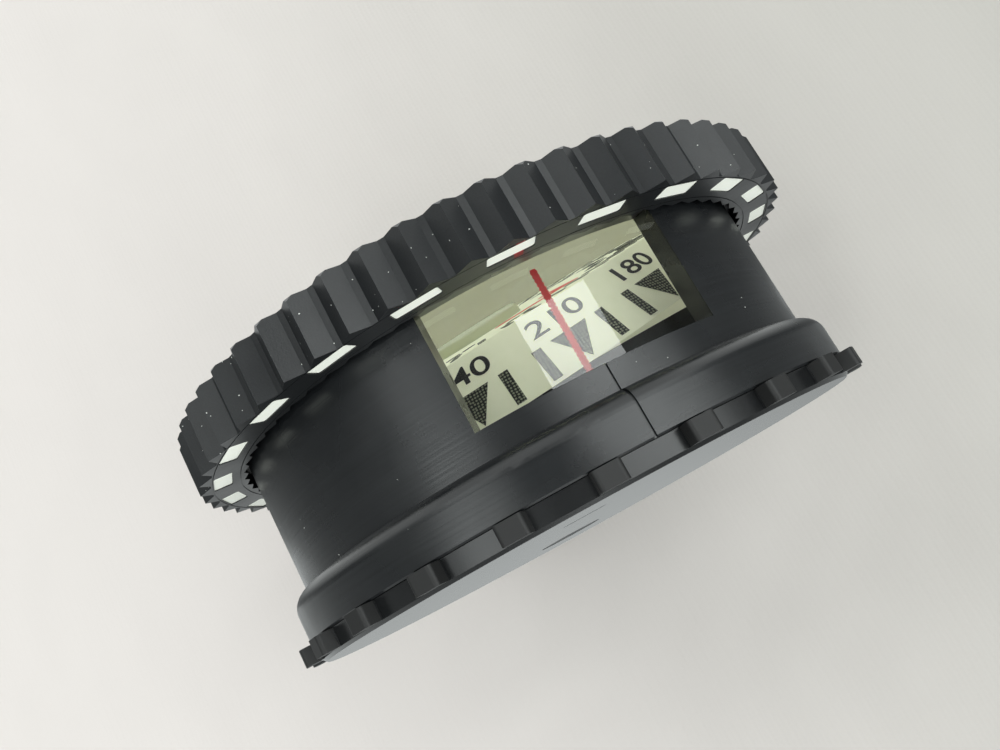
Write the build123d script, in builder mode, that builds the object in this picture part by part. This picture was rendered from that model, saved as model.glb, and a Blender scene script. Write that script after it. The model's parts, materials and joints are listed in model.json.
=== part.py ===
"""Side-reading bearing compass module for marine use.

A black housing with a locking base carries a toothed rotating bezel. A clear capsule, filled with
damping fluid, shows the card from above through its dome and from the side through the window.

Frame: +Z up along the compass axis, origin in the middle of the base's flat underside, -Y at the
middle of the side window. Azimuths are degrees from -Y towards +X. Sizes are millimetres.
The card is shown leaning against its stop, as it lies when the compass rests on its side.
"""
import os
from math import cos, radians, sin, sqrt, tan

from build123d import *

os.makedirs("parts", exist_ok=True)

# ---------------------------------------------------------------- driving dimensions
# Base
base_rim_inset = 0.37  # the base's rim lies this far inside the band
base_edge_chamfer = 0.3
base_skin = 2.2  # thickness of the flat bottom
base_parting_height = 1.95  # the base cover ends here and the housing starts
parting_gap = 0.05
spigot_length = 2.65  # how far the cover's ring reaches into the housing
spigot_wall = 2.6
base_seal_width = 1.1
base_seal_depth = 0.9

# Locking lugs round the base
lug_count = 24
lug_width = 2.4
lug_reach = 1.6  # how far a lug stands out of the base's rim
lug_root_depth = 0.8  # buried in the base's rim
lug_bottom = 0.3
lug_corner = 0.4
lug_phase = 6.3  # azimuth of one lug's centre

# Housing
body_radius = 27.42
body_wall = 3.32
band_step = 1.65  # how far the band stands out of the body
band_top = 6.44
band_edge_chamfer = 0.15
housing_top = 22.6
housing_top_chamfer = 0.3
lip_width = 1.0  # inward lip that holds the capsule down
lip_thickness = 0.8

# Side window
window_half_angle = 23.0
window_bottom = 8.75
window_top = 19.3
window_setback = 0.05  # the clear face is just inside the housing's outside
window_side_gap = 0.1  # degrees at each side of the block
bond_gap = 0.05
index_groove_width = 0.26
index_groove_depth = 0.2

# Clear capsule
capsule_wall = 1.85
capsule_bottom = 8.0
capsule_seal_thickness = 0.6
dome_thickness = 1.6
dome_inner_apex = 25.2
dome_inner_radius = 71.3
lubber_width = 0.55
lubber_thickness = 0.05
lubber_bottom = 9.3
lubber_top = 18.85

# Capsule floor and what hangs under it
floor_top = 8.95
floor_bottom = 6.4
floor_gasket_thickness = 0.4
clamp_ring_width = 4.05
port_radius = 1.55  # fill port through the floor
port_offset = 9.5  # from the axis, towards +Y
fill_screw_head_radius = 2.4
fill_screw_head_height = 0.8
fill_screw_slot_width = 0.6
fill_screw_end_gap = 0.25  # how far its end stays below the floor's top
fill_seal_thickness = 0.3
breather_radius = 0.5
breather_count = 4
breather_circle = 4.2
breather_phase = 45
diaphragm_radius = 6.4
diaphragm_rim = 1.3
diaphragm_thickness = 0.45
diaphragm_sag = 1.2
diaphragm_ring_thickness = 0.8

# Access plug in the base, under the fill port
plug_stem_radius = 3.0
plug_head_radius = 3.6
plug_head_height = 0.8
plug_slot_length = 4.6
plug_slot_width = 0.8
plug_slot_depth = 0.4
plug_slot_angle = 25
vent_radius = 17.8  # where the vent slot lies
vent_azimuth = -14.3
vent_length = 4.0
vent_width = 0.6

# Pivot
pivot_height = 13.94
post_radius = 1.5
post_flange_radius = 3.0
post_flange_height = 0.75
post_top = 12.4
post_stud_radius = 1.0
post_stud_length = 1.5
pin_radius = 0.45
pin_depth = 2.0  # length held in the post
pin_point_length = 1.5
pin_tip_radius = 0.05

# Jewel and its setting, both centred on the pivot point
jewel_radius = 1.3
jewel_top = 1.0
jewel_bottom = -0.5
jewel_cup_half_angle = 50.0
jewel_tip_gap = 0.06
setting_radius = 2.4
setting_socket_gap = 0.06
setting_top = 1.9

# Card, in its own leaning frame
card_lean = 13.66
card_lean_azimuth = -34.7
card_rim_clearance = 3.8  # from the capsule's inner wall, so that the card can tilt
card_cone_slope = 0.53  # radius lost for each mm of height
card_height = 6.0
card_thickness = 0.6
north_azimuth = 35.4
mark_step = 10
mark_thickness = 0.05
triangle_half_width = 1.65
mark_bottom = 0.3
mark_top = 3.15
bar_width = 0.82
top_bar_width = 0.7
top_bar_length = 2.6
top_bar_margin = 1.02  # from the edge of the card's top
arrow_line_width = 1.0
arrow_tip_gap = 0.6  # between the arrow and the bars
arrow_tail_radius = 4.6
arrow_tail_half_width = 3.4
arrow_notch = 2.2  # how far the inner corner stands behind the tip

# Card underside
carrier_inset = 2.0  # inside the float ring's rim
carrier_bottom = 0.6
carrier_thickness = 1.6
hub_wall = 1.15
hub_bottom = -0.4
hub_waist_radius = 1.5
hub_cap_height = 1.0
hub_cap_round = 0.3
float_inset = 2.72  # inside the card's top edge
magnet_margin = 0.77  # from the magnet's corner to the carrier's rim
magnet_width = 2.4
magnet_offset = 5.0
balance_radius = 1.0
balance_height = 0.85
balance_margin = 0.9  # from the weight to the carrier's rim

# Bezel
bezel_width = 5.08  # from the body to the teeth's crests
bezel_tooth_depth = 1.1
bezel_tooth_count = 60
bezel_root_share = 0.18  # flat root as a share of the tooth pitch
bezel_tooth_phase = 0.67
bezel_bottom = 18.7
bezel_height = 5.3
bezel_edge_chamfer = 0.35
bezel_bevel_width = 1.9  # slope down to the dome, inside the flat top
bezel_bevel_drop = 1.1
ratchet_count = 72
ratchet_tip_gap = 0.38  # from the body to the teeth's tips
ratchet_depth = 0.45
ratchet_height = 1.5
ratchet_tip_share = 0.65  # where the tip stands within one pitch
flange_line_width = 0.12
flange_line_depth = 0.08
flange_line_margin = 0.15  # outer line, from the slots
flange_line_offset = 1.18  # inner line, from the body

# Luminous pips, one through each bezel slot
pip_count = 24
pip_length = 4.1
pip_width = 1.8
pip_offset = 2.8  # from the body to the middle of a pip
pip_corner = 0.25
pip_phase = -5.5
pip_recess = 0.1
index_width = 0.8
index_depth = 0.15
index_azimuth = -4.2
index_inner_margin = 0.15  # from the inner line
index_outer_margin = 0.12  # past the outer line

# Bezel retention and click
snap_ring_height = 0.75
snap_ring_width = 1.35
snap_ring_bottom = 21.3
snap_ring_gap = 2.0
snap_groove_depth = 0.62
click_pocket_depth = 1.5
click_half_angle = 12.0
click_leaf_thickness = 0.3
click_leaf_height = 1.2
click_leaf_inset = 0.57  # outer face of the leaf, from the body's outside
click_foot_angle = 1.2
click_nib_half_width = 0.5
click_nib_tip_half_width = 0.1
click_pocket_margin = 1.0  # degrees of room beyond each end of the spring
click_azimuth = 180.0

# Fits
running_clearance = 0.08
axial_clearance = 0.08
static_clearance = 0.05
insert_clearance = 0.03

# ---------------------------------------------------------------- derived sizes
band_radius = body_radius + band_step
base_radius = band_radius - base_rim_inset
lug_tip_radius = base_radius + lug_reach
bore_radius = body_radius - body_wall
insert_radius = bore_radius - static_clearance  # everything that stacks inside the bore
capsule_inner_radius = insert_radius - capsule_wall
lip_radius = bore_radius - lip_width
dome_neck_radius = lip_radius - static_clearance
lip_bottom = housing_top - lip_thickness
shoulder_height = lip_bottom - capsule_seal_thickness
shoulder_round = band_step
housing_bottom = base_parting_height + parting_gap
spigot_top = base_parting_height + spigot_length
spigot_inner_radius = insert_radius - spigot_wall
dome_outer_apex = dome_inner_apex + dome_thickness
dome_outer_radius = dome_inner_radius + dome_thickness
floor_rim_top = capsule_bottom - floor_gasket_thickness
floor_inner_radius = capsule_inner_radius - static_clearance
clamp_ring_bore_radius = insert_radius - clamp_ring_width
bezel_top = bezel_bottom + bezel_height
bezel_bore_radius = body_radius + running_clearance
bevel_outer_radius = bezel_bore_radius + bezel_bevel_width
bezel_crest_radius = body_radius + bezel_width
bezel_root_radius = bezel_crest_radius - bezel_tooth_depth
ratchet_tip_radius = body_radius + ratchet_tip_gap
ratchet_root_radius = ratchet_tip_radius + ratchet_depth
click_leaf_radius = body_radius - click_leaf_inset
pip_circle = body_radius + pip_offset
flange_outer_line_radius = pip_circle + pip_width / 2 + flange_line_margin
flange_inner_line_radius = body_radius + flange_line_offset
index_inner_radius = flange_inner_line_radius + index_inner_margin
index_outer_radius = flange_outer_line_radius + index_outer_margin
index_length = index_outer_radius - index_inner_radius
index_middle_radius = index_inner_radius + index_length / 2
hub_bore_radius = setting_radius + static_clearance
hub_radius = hub_bore_radius + hub_wall
card_rim_radius = capsule_inner_radius - card_rim_clearance
card_top_radius = card_rim_radius - card_cone_slope * card_height
top_bar_outer_radius = card_top_radius - top_bar_margin
top_bar_inner_radius = top_bar_outer_radius - top_bar_length
arrow_tip_radius = top_bar_inner_radius - arrow_tip_gap
float_radius = card_top_radius - float_inset
carrier_radius = float_radius - carrier_inset
magnet_corner_radius = carrier_radius - magnet_margin
magnet_half_length = sqrt(magnet_corner_radius**2 - (magnet_offset + magnet_width / 2) ** 2)
magnet_length = 2 * magnet_half_length
balance_offset = carrier_radius - balance_radius - balance_margin
carrier_top = carrier_bottom + carrier_thickness


def on_azimuth(radius, azimuth):
    """Point at a radius and an azimuth, in the XY plane."""
    angle = radians(azimuth - 90)
    return (radius * cos(angle), radius * sin(angle))


def section_at(azimuth):
    """Vertical plane through the axis: local x is the radius at that azimuth, local y is height."""
    x, y = on_azimuth(1, azimuth)
    return Plane(origin=(0, 0, 0), x_dir=(x, y, 0), z_dir=(y, -x, 0))


def dome_height(radius, apex, sphere_radius):
    """Height of a dome at a radius, from its apex height and its sphere's radius."""
    return apex - sphere_radius + sqrt(sphere_radius**2 - radius**2)


def dome_point(radius, apex, sphere_radius):
    """Point of a dome's section at a radius."""
    return (radius, dome_height(radius, apex, sphere_radius))


# The card's frame: its normal leans by card_lean towards card_lean_azimuth.
lean_x, lean_y = on_azimuth(1, card_lean_azimuth)
lean_sin = sin(radians(card_lean))
lean_cos = cos(radians(card_lean))
card_plane = Plane(
    origin=(0, 0, pivot_height),
    x_dir=(-lean_y, lean_x, 0),
    z_dir=(lean_sin * lean_x, lean_sin * lean_y, lean_cos),
)
card_axis = Axis(card_plane.origin, card_plane.z_dir)
card_section = Plane(origin=card_plane.origin, x_dir=card_plane.x_dir, z_dir=-card_plane.y_dir)


def card_angle(azimuth):
    """Polar angle in the card's plane of a direction given as an azimuth."""
    return azimuth - 90 - card_lean_azimuth


def card_direction(azimuth):
    """Unit vector in the card's plane towards an azimuth."""
    return card_plane.x_dir.rotate(Axis((0, 0, 0), card_plane.z_dir), card_angle(azimuth))


def card_radial_plane(azimuth):
    """Plane on the card's axis that faces outwards: local x is tangential, local y is height."""
    outwards = card_direction(azimuth)
    return Plane(origin=card_plane.origin, x_dir=card_plane.z_dir.cross(outwards), z_dir=outwards)


def card_north_plane(height):
    """Plane parallel to the card at a height, with its local x towards north."""
    origin = card_plane.origin + card_plane.z_dir * height
    return Plane(origin=origin, x_dir=card_direction(north_azimuth), z_dir=card_plane.z_dir)


# ---------------------------------------------------------------- base cover
with BuildPart() as base_cover:
    with BuildSketch(Plane.XZ):
        with BuildLine():
            Polyline(
                (0, 0),
                (base_radius - base_edge_chamfer, 0),
                (base_radius, base_edge_chamfer),
                (base_radius, base_parting_height),
                (insert_radius, base_parting_height),
                (insert_radius, spigot_top),
                (spigot_inner_radius, spigot_top),
                (spigot_inner_radius, base_skin),
                (0, base_skin),
                close=True,
            )
        make_face()
    revolve(axis=Axis.Z)
    lug_length = lug_tip_radius - base_radius + lug_root_depth
    lug_centre = lug_tip_radius - lug_length / 2
    with BuildSketch(Plane.XY.offset(lug_bottom)):
        with PolarLocations(lug_centre, lug_count, start_angle=lug_phase - 90):
            RectangleRounded(lug_length, lug_width, lug_corner)
    extrude(amount=base_parting_height - lug_bottom)
    # Seal groove round the spigot
    seal_middle = (base_parting_height + spigot_top) / 2
    with BuildSketch(Plane.XZ):
        with Locations((insert_radius - base_seal_depth / 2, seal_middle)):
            Rectangle(base_seal_depth, base_seal_width)
    revolve(axis=Axis.Z, mode=Mode.SUBTRACT)
    # Access hole with a seat for the plug's head
    with BuildSketch(Plane.XY):
        with Locations((0, port_offset)):
            Circle(plug_head_radius)
    extrude(amount=plug_head_height, mode=Mode.SUBTRACT)
    with BuildSketch(Plane.XY):
        with Locations((0, port_offset)):
            Circle(plug_stem_radius)
    extrude(amount=base_skin, mode=Mode.SUBTRACT)
    # Vent slot that lets the outside pressure reach the diaphragm
    with BuildSketch(Plane.XY):
        with PolarLocations(vent_radius, 1, start_angle=vent_azimuth - 90):
            SlotOverall(vent_length, vent_width, rotation=90)
    extrude(amount=base_skin, mode=Mode.SUBTRACT)
base_cover.part.label = "base_cover"

with BuildPart() as base_seal:
    seal_depth = base_seal_depth - static_clearance
    seal_width = base_seal_width - static_clearance
    with BuildSketch(Plane.XZ):
        with Locations((bore_radius - base_seal_depth / 2 - insert_clearance, seal_middle)):
            Rectangle(seal_depth, seal_width)
    revolve(axis=Axis.Z)
base_seal.part.label = "base_seal"

with BuildPart() as base_plug:
    with BuildSketch(Plane.XY.offset(static_clearance)):
        with Locations((0, port_offset)):
            Circle(plug_head_radius - static_clearance)
    extrude(amount=plug_head_height - static_clearance)
    with BuildSketch(Plane.XY.offset(plug_head_height)):
        with Locations((0, port_offset)):
            Circle(plug_stem_radius - static_clearance)
    extrude(amount=base_skin - plug_head_height)
    with BuildSketch(Plane.XY.offset(static_clearance)):
        with Locations((0, port_offset)):
            SlotOverall(plug_slot_length, plug_slot_width, rotation=plug_slot_angle)
    extrude(amount=plug_slot_depth, mode=Mode.SUBTRACT)
base_plug.part.label = "base_plug"

# ---------------------------------------------------------------- housing
with BuildPart() as housing:
    shoulder_bottom = band_top - shoulder_round
    arc_middle = shoulder_round * sin(radians(45))
    with BuildSketch(Plane.XZ):
        with BuildLine():
            Polyline(
                (body_radius, band_top),
                (body_radius, housing_top - housing_top_chamfer),
                (body_radius - housing_top_chamfer, housing_top),
                (lip_radius, housing_top),
                (lip_radius, lip_bottom),
                (bore_radius, lip_bottom),
                (bore_radius, housing_bottom),
                (band_radius - band_edge_chamfer, housing_bottom),
                (band_radius, housing_bottom + band_edge_chamfer),
                (band_radius, shoulder_bottom),
            )
            ThreePointArc(
                (band_radius, shoulder_bottom),
                (body_radius + arc_middle, shoulder_bottom + arc_middle),
                (body_radius, band_top),
            )
        make_face()
    revolve(axis=Axis.Z)
    # Opening for the side window
    reach = 2 * band_radius
    with BuildSketch(Plane.XY.offset(window_bottom)):
        with BuildLine():
            Polyline(
                (0, 0),
                on_azimuth(reach, -window_half_angle),
                on_azimuth(reach, window_half_angle),
                close=True,
            )
        make_face()
    extrude(amount=window_top - window_bottom, mode=Mode.SUBTRACT)
    # Groove for the snap ring
    with BuildSketch(Plane.XZ):
        groove_middle = snap_ring_bottom + snap_ring_height / 2
        with Locations((body_radius - snap_groove_depth / 2, groove_middle)):
            Rectangle(snap_groove_depth, snap_ring_height + static_clearance)
    revolve(axis=Axis.Z, mode=Mode.SUBTRACT)
    # Pocket for the click spring
    pocket_half_angle = click_half_angle + click_pocket_margin
    pocket_height = click_leaf_height + 2 * axial_clearance
    click_middle = bezel_bottom + ratchet_height / 2
    with BuildSketch(section_at(click_azimuth - pocket_half_angle)):
        with Locations((body_radius - click_pocket_depth / 2, click_middle)):
            Rectangle(click_pocket_depth, pocket_height)
    revolve(axis=Axis.Z, revolution_arc=2 * pocket_half_angle, mode=Mode.SUBTRACT)
    # Index groove from the window's lower edge down over the band
    with BuildSketch(section_at(0)):
        groove_round = shoulder_round - index_groove_depth
        groove_arc = groove_round * sin(radians(45))
        with BuildLine():
            Polyline(
                (body_radius, band_top - index_groove_depth),
                (body_radius - index_groove_depth, band_top - index_groove_depth),
                (body_radius - index_groove_depth, window_bottom),
                (reach, window_bottom),
                (reach, housing_bottom),
                (band_radius - index_groove_depth, housing_bottom),
                (band_radius - index_groove_depth, shoulder_bottom),
            )
            ThreePointArc(
                (band_radius - index_groove_depth, shoulder_bottom),
                (body_radius + groove_arc, shoulder_bottom + groove_arc),
                (body_radius, band_top - index_groove_depth),
            )
        make_face()
    extrude(amount=index_groove_width / 2, both=True, mode=Mode.SUBTRACT)
housing.part.label = "housing"

# ---------------------------------------------------------------- clear capsule and window
with BuildPart() as capsule:
    dome_edge = dome_point(dome_neck_radius, dome_outer_apex, dome_outer_radius)
    inner_edge = dome_point(capsule_inner_radius, dome_inner_apex, dome_inner_radius)
    with BuildSketch(Plane.XZ):
        with BuildLine():
            Polyline(
                (0, dome_outer_apex),
                (0, dome_inner_apex),
            )
            ThreePointArc(
                (0, dome_inner_apex),
                dome_point(capsule_inner_radius / 2, dome_inner_apex, dome_inner_radius),
                inner_edge,
            )
            Polyline(
                inner_edge,
                (capsule_inner_radius, capsule_bottom),
                (insert_radius, capsule_bottom),
                (insert_radius, shoulder_height),
                (dome_neck_radius, shoulder_height),
                dome_edge,
            )
            ThreePointArc(
                dome_edge,
                dome_point(dome_neck_radius / 2, dome_outer_apex, dome_outer_radius),
                (0, dome_outer_apex),
            )
        make_face()
    revolve(axis=Axis.Z)
capsule.part.label = "capsule"

with BuildPart() as side_window:
    block_half_angle = window_half_angle - window_side_gap
    block_inner = insert_radius + bond_gap
    block_outer = body_radius - window_setback
    with BuildSketch(section_at(-block_half_angle)):
        with Locations(((block_inner + block_outer) / 2, (window_bottom + window_top) / 2)):
            Rectangle(block_outer - block_inner, window_top - window_bottom - 2 * bond_gap)
    revolve(axis=Axis.Z, revolution_arc=2 * block_half_angle)
side_window.part.label = "side_window"

with BuildPart() as lubber_line:
    lubber_radius = capsule_inner_radius - insert_clearance
    lubber_half_angle = lubber_width / (2 * radians(1) * lubber_radius)
    with BuildSketch(section_at(-lubber_half_angle)):
        with Locations((lubber_radius - lubber_thickness / 2, (lubber_bottom + lubber_top) / 2)):
            Rectangle(lubber_thickness, lubber_top - lubber_bottom)
    revolve(axis=Axis.Z, revolution_arc=2 * lubber_half_angle)
lubber_line.part.label = "lubber_line"

with BuildPart() as capsule_seal:
    ring_width = lip_width - static_clearance
    ring_thickness = capsule_seal_thickness - static_clearance
    with BuildSketch(Plane.XZ):
        with Locations(((dome_neck_radius + insert_radius) / 2, (shoulder_height + lip_bottom) / 2)):
            Rectangle(ring_width, ring_thickness)
    revolve(axis=Axis.Z)
capsule_seal.part.label = "capsule_seal"

# ---------------------------------------------------------------- capsule floor and fittings
with BuildPart() as capsule_floor:
    with BuildSketch(Plane.XZ):
        with BuildLine():
            Polyline(
                (0, floor_bottom),
                (insert_radius, floor_bottom),
                (insert_radius, floor_rim_top),
                (floor_inner_radius, floor_rim_top),
                (floor_inner_radius, floor_top),
                (0, floor_top),
                close=True,
            )
        make_face()
    revolve(axis=Axis.Z)
    with BuildSketch(Plane.XY.offset(floor_top - post_stud_length)):
        Circle(post_stud_radius + insert_clearance)
    extrude(amount=post_stud_length, mode=Mode.SUBTRACT)
    with BuildSketch(Plane.XY.offset(floor_bottom)):
        with Locations((0, port_offset)):
            Circle(port_radius)
        with PolarLocations(breather_circle, breather_count, start_angle=breather_phase):
            Circle(breather_radius)
    extrude(amount=floor_top - floor_bottom, mode=Mode.SUBTRACT)
capsule_floor.part.label = "capsule_floor"

with BuildPart() as floor_gasket:
    with BuildSketch(Plane.XY.offset(floor_rim_top)):
        Circle(insert_radius)
        Circle(capsule_inner_radius, mode=Mode.SUBTRACT)
    extrude(amount=floor_gasket_thickness)
floor_gasket.part.label = "floor_gasket"

with BuildPart() as clamp_ring:
    clamp_ring_height = floor_bottom - spigot_top - 2 * static_clearance
    with BuildSketch(Plane.XY.offset(spigot_top + static_clearance)):
        Circle(insert_radius)
        Circle(clamp_ring_bore_radius, mode=Mode.SUBTRACT)
    extrude(amount=clamp_ring_height)
clamp_ring.part.label = "clamp_ring"

with BuildPart() as fill_screw:
    head_top = floor_bottom - fill_seal_thickness
    with BuildSketch(Plane.XY.offset(head_top - fill_screw_head_height)):
        with Locations((0, port_offset)):
            Circle(fill_screw_head_radius)
    extrude(amount=fill_screw_head_height)
    with BuildSketch(Plane.XY.offset(head_top)):
        with Locations((0, port_offset)):
            Circle(port_radius - static_clearance)
    extrude(amount=floor_top - head_top - fill_screw_end_gap)
    with BuildSketch(Plane.XY.offset(head_top - fill_screw_head_height)):
        with Locations((0, port_offset)):
            Rectangle(2 * fill_screw_head_radius, fill_screw_slot_width)
    extrude(amount=fill_screw_head_height / 2, mode=Mode.SUBTRACT)
fill_screw.part.label = "fill_screw"

with BuildPart() as fill_seal:
    with BuildSketch(Plane.XY.offset(floor_bottom - fill_seal_thickness)):
        with Locations((0, port_offset)):
            Circle(fill_screw_head_radius)
            Circle(port_radius, mode=Mode.SUBTRACT)
    extrude(amount=fill_seal_thickness)
fill_seal.part.label = "fill_seal"

with BuildPart() as diaphragm:
    # A rubber cup: flat rim under the floor, sagging middle that follows the fluid's volume
    rim_inner = diaphragm_radius - diaphragm_rim
    cup_radius = rim_inner - diaphragm_sag
    rim_bottom = floor_bottom - diaphragm_thickness
    with BuildSketch(Plane.XZ):
        with BuildLine():
            Polyline(
                (diaphragm_radius, floor_bottom),
                (rim_inner, floor_bottom),
                (cup_radius, floor_bottom - diaphragm_sag),
                (0, floor_bottom - diaphragm_sag),
                (0, rim_bottom - diaphragm_sag),
                (cup_radius, rim_bottom - diaphragm_sag),
                (rim_inner, rim_bottom),
                (diaphragm_radius, rim_bottom),
                close=True,
            )
        make_face()
    revolve(axis=Axis.Z)
diaphragm.part.label = "diaphragm"

with BuildPart() as diaphragm_ring:
    with BuildSketch(Plane.XY.offset(rim_bottom - diaphragm_ring_thickness)):
        Circle(diaphragm_radius)
        Circle(rim_inner + static_clearance, mode=Mode.SUBTRACT)
    extrude(amount=diaphragm_ring_thickness)
diaphragm_ring.part.label = "diaphragm_ring"

# ---------------------------------------------------------------- pivot
with BuildPart() as pivot_post:
    with BuildSketch(Plane.XZ):
        with BuildLine():
            Polyline(
                (0, floor_top - post_stud_length + insert_clearance),
                (post_stud_radius, floor_top - post_stud_length + insert_clearance),
                (post_stud_radius, floor_top),
                (post_flange_radius, floor_top),
                (post_flange_radius, floor_top + post_flange_height),
                (post_radius, floor_top + 2 * post_flange_height),
                (post_radius, post_top),
                (0, post_top),
                close=True,
            )
        make_face()
    revolve(axis=Axis.Z)
    with BuildSketch(Plane.XY.offset(post_top - pin_depth)):
        Circle(pin_radius + insert_clearance)
    extrude(amount=pin_depth, mode=Mode.SUBTRACT)
pivot_post.part.label = "pivot_post"

with BuildPart() as pivot_pin:
    with BuildSketch(Plane.XZ):
        with BuildLine():
            Polyline(
                (0, post_top - pin_depth + insert_clearance),
                (pin_radius, post_top - pin_depth + insert_clearance),
                (pin_radius, pivot_height - pin_point_length),
                (pin_tip_radius, pivot_height),
                (0, pivot_height),
                close=True,
            )
        make_face()
    revolve(axis=Axis.Z)
pivot_pin.part.label = "pivot_pin"

with BuildPart() as jewel:
    cup_depth = jewel_tip_gap - jewel_bottom
    cup_mouth = cup_depth * tan(radians(jewel_cup_half_angle))
    with BuildSketch(card_section):
        with BuildLine():
            jewel_low = (sqrt(jewel_radius**2 - jewel_bottom**2), jewel_bottom)
            jewel_high = (sqrt(jewel_radius**2 - jewel_top**2), jewel_top)
            Polyline(jewel_high, (0, jewel_top), (0, jewel_tip_gap), (cup_mouth, jewel_bottom), jewel_low)
            ThreePointArc(jewel_low, (jewel_radius, 0), jewel_high)
        make_face()
    revolve(axis=card_axis)
jewel.part.label = "jewel"

with BuildPart() as jewel_setting:
    socket_radius = jewel_radius + setting_socket_gap
    socket_middle = socket_radius * sin(radians(45))
    with BuildSketch(card_section):
        with BuildLine():
            socket_low = (sqrt(socket_radius**2 - jewel_bottom**2), jewel_bottom)
            Polyline(
                (0, socket_radius),
                (0, setting_top),
                (setting_radius, setting_top),
                (setting_radius, jewel_bottom),
                socket_low,
            )
            ThreePointArc(socket_low, (socket_middle, socket_middle), (0, socket_radius))
        make_face()
    revolve(axis=card_axis)
jewel_setting.part.label = "jewel_setting"

# ---------------------------------------------------------------- card assembly
with BuildPart() as card:
    cone_inset = card_thickness * sqrt(1 + card_cone_slope**2)
    card_roof_radius = card_top_radius + card_cone_slope * card_thickness - cone_inset
    with BuildSketch(card_section):
        with BuildLine():
            Polyline(
                (card_rim_radius, 0),
                (card_top_radius, card_height),
                (hub_radius + static_clearance, card_height),
                (hub_radius + static_clearance, card_height - card_thickness),
                (card_roof_radius, card_height - card_thickness),
                (card_rim_radius - cone_inset, 0),
                close=True,
            )
        make_face()
    revolve(axis=card_axis)
card.part.label = "card"

# Printed marks on the sloping skirt: a triangle every third mark, a bar at the others
mark_azimuths = [north_azimuth + mark_step * index for index in range(360 // mark_step)]
with BuildPart() as card_marks:
    for index, azimuth in enumerate(mark_azimuths):
        with BuildSketch(card_radial_plane(azimuth)):
            if index % 3 == 0:
                with BuildLine():
                    Polyline(
                        (0, mark_bottom),
                        (triangle_half_width, mark_top),
                        (-triangle_half_width, mark_top),
                        close=True,
                    )
                make_face()
            else:
                with Locations((0, (mark_bottom + mark_top) / 2)):
                    Rectangle(bar_width, mark_top - mark_bottom)
        extrude(amount=2 * card_rim_radius)
    with BuildSketch(card_section):
        with BuildLine():
            Polyline(
                (card_rim_radius, 0),
                (card_rim_radius + mark_thickness, 0),
                (card_top_radius + mark_thickness, card_height),
                (card_top_radius, card_height),
                close=True,
            )
        make_face()
    revolve(axis=card_axis, mode=Mode.INTERSECT)
card_marks.part.label = "card_marks"

with BuildPart() as card_top_scale:
    with BuildSketch(card_plane.offset(card_height)):
        bar_middle = top_bar_inner_radius + top_bar_length / 2
        with PolarLocations(bar_middle, 360 // mark_step, start_angle=card_angle(north_azimuth)):
            Rectangle(top_bar_length, top_bar_width)
    extrude(amount=mark_thickness)
card_top_scale.part.label = "card_top_scale"

with BuildPart() as north_arrow:
    with BuildSketch(card_north_plane(card_height)):
        with BuildLine():
            Polyline(
                (arrow_tip_radius, 0),
                (arrow_tail_radius, arrow_tail_half_width),
                (arrow_tail_radius, arrow_tail_half_width - arrow_line_width),
                (arrow_tip_radius - arrow_notch, 0),
                (arrow_tail_radius, arrow_line_width - arrow_tail_half_width),
                (arrow_tail_radius, -arrow_tail_half_width),
                close=True,
            )
        make_face()
    extrude(amount=mark_thickness)
north_arrow.part.label = "north_arrow"

with BuildPart() as magnet_carrier:
    with BuildSketch(card_section):
        with BuildLine():
            Polyline(
                (hub_bore_radius, hub_bottom),
                (hub_radius, hub_bottom),
                (hub_radius, carrier_bottom),
                (carrier_radius, carrier_bottom),
                (carrier_radius, carrier_top),
                (hub_radius, carrier_top),
                (hub_radius, card_height - static_clearance),
                (hub_waist_radius, card_height - static_clearance),
                (hub_waist_radius, setting_top + axial_clearance),
                (hub_bore_radius, setting_top + axial_clearance),
                close=True,
            )
        make_face()
    revolve(axis=card_axis)
    magnet_plane = card_north_plane(carrier_bottom)
    with BuildSketch(magnet_plane):
        with Locations((0, magnet_offset), (0, -magnet_offset)):
            Rectangle(magnet_length + 2 * insert_clearance, magnet_width + 2 * insert_clearance)
    extrude(amount=carrier_thickness, mode=Mode.SUBTRACT)
magnet_carrier.part.label = "magnet_carrier"

magnets = {}
for side, offset_sign in (("left", 1), ("right", -1)):
    with BuildPart() as magnet:
        with BuildSketch(magnet_plane):
            with Locations((0, offset_sign * magnet_offset)):
                Rectangle(magnet_length, magnet_width)
        extrude(amount=carrier_thickness)
    magnet.part.label = f"{side}_magnet"
    magnets[side] = magnet.part

with BuildPart() as balance_weight:
    with BuildSketch(magnet_plane):
        with Locations((-balance_offset, 0)):
            Circle(balance_radius)
    extrude(amount=-balance_height)
balance_weight.part.label = "balance_weight"

with BuildPart() as float_ring:
    float_bottom = carrier_top + static_clearance
    float_top = card_height - card_thickness - static_clearance
    with BuildSketch(card_plane.offset(float_bottom)):
        Circle(float_radius)
        Circle(hub_radius + static_clearance, mode=Mode.SUBTRACT)
    extrude(amount=float_top - float_bottom)
float_ring.part.label = "float_ring"

with BuildPart() as hub_cap:
    with BuildSketch(card_plane.offset(card_height)):
        Circle(hub_radius)
    extrude(amount=hub_cap_height)
    with BuildSketch(card_plane.offset(card_height - hub_cap_height)):
        Circle(hub_waist_radius - insert_clearance)
    extrude(amount=hub_cap_height)
    fillet(hub_cap.faces().sort_by(card_axis)[-1].edges(), hub_cap_round)
hub_cap.part.label = "hub_cap"

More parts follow.
